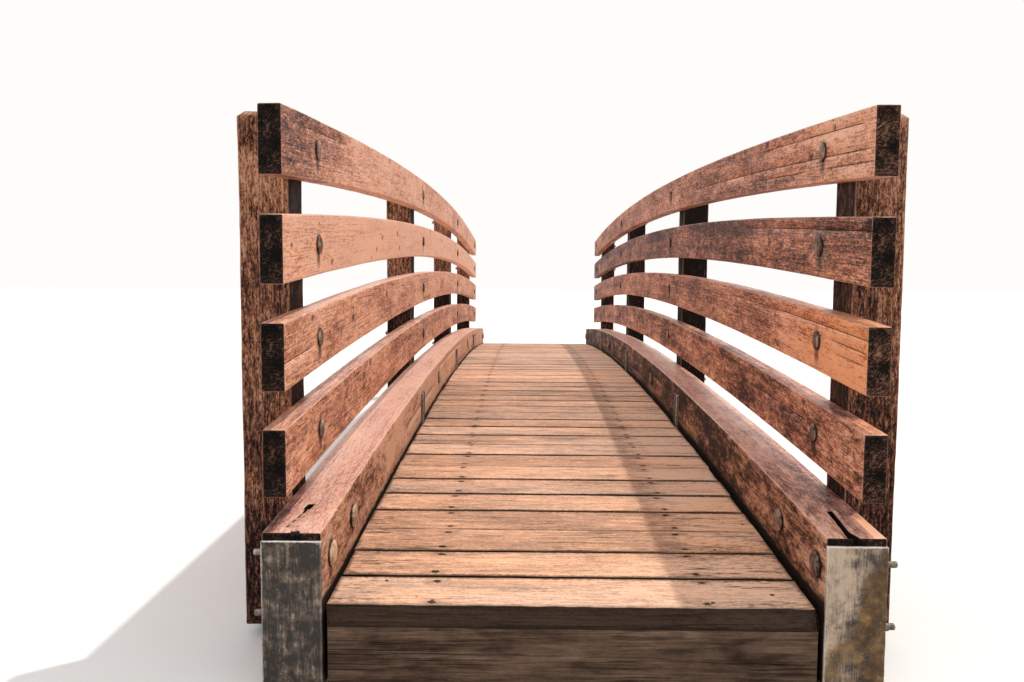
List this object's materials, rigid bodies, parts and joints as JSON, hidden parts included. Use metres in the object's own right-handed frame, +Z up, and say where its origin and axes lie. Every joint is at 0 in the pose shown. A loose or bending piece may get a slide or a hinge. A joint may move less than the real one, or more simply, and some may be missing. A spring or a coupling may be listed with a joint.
{
  "type": "arched wooden footbridge",
  "caption": "Arched timber footbridge: deep curved stringers with a crosswise plank deck between them, curved rails bolted inside square posts, steel shoes at the ends.",
  "frame": {"origin": "on the bearing level, midway between the four shoes", "axes": "+X across the walkway to the right, +Y along it to the far end, +Z up"},
  "size_m": [1.945, 8.91, 1.7003],
  "materials": {
    "stringer_timber": "red-brown stain, weathered",
    "rail_timber": "red-brown stain, planed and weathered",
    "post_timber": "dark red-brown stain, rough sawn",
    "deck_timber": "bare, sun-bleached",
    "under_timber": "bare, dark with damp",
    "galvanised_steel": "dull galvanised with rust stains"
  },
  "bodies": {
    "root": {"left_stringer": "stringer_timber", "right_stringer": "stringer_timber", "left_top_rail": "rail_timber", "left_upper_rail": "rail_timber", "left_lower_rail": "rail_timber", "left_bottom_rail": "rail_timber", "right_top_rail": "rail_timber", "right_upper_rail": "rail_timber", "right_lower_rail": "rail_timber", "right_bottom_rail": "rail_timber", "left_near_post": "post_timber", "left_second_post": "post_timber", "left_third_post": "post_timber", "left_far_post": "post_timber", "right_near_post": "post_timber", "right_second_post": "post_timber", "right_third_post": "post_timber", "right_far_post": "post_timber", "deck_bay_1": "deck_timber", "deck_bay_2": "deck_timber", "deck_bay_3": "deck_timber", "deck_bay_4": "deck_timber", "deck_bay_5": "deck_timber", "deck_bay_6": "deck_timber", "left_joists": "under_timber", "right_joists": "under_timber", "near_cross_beam": "under_timber", "middle_cross_beam": "under_timber", "far_cross_beam": "under_timber", "near_end_beam": "under_timber", "far_end_beam": "under_timber", "left_near_hanger": "galvanised_steel", "left_middle_hanger": "galvanised_steel", "left_far_hanger": "galvanised_steel", "right_near_hanger": "galvanised_steel", "right_middle_hanger": "galvanised_steel", "right_far_hanger": "galvanised_steel", "left_near_shoe": "galvanised_steel", "left_far_shoe": "galvanised_steel", "right_near_shoe": "galvanised_steel", "right_far_shoe": "galvanised_steel"}
  },
  "joints": []
}
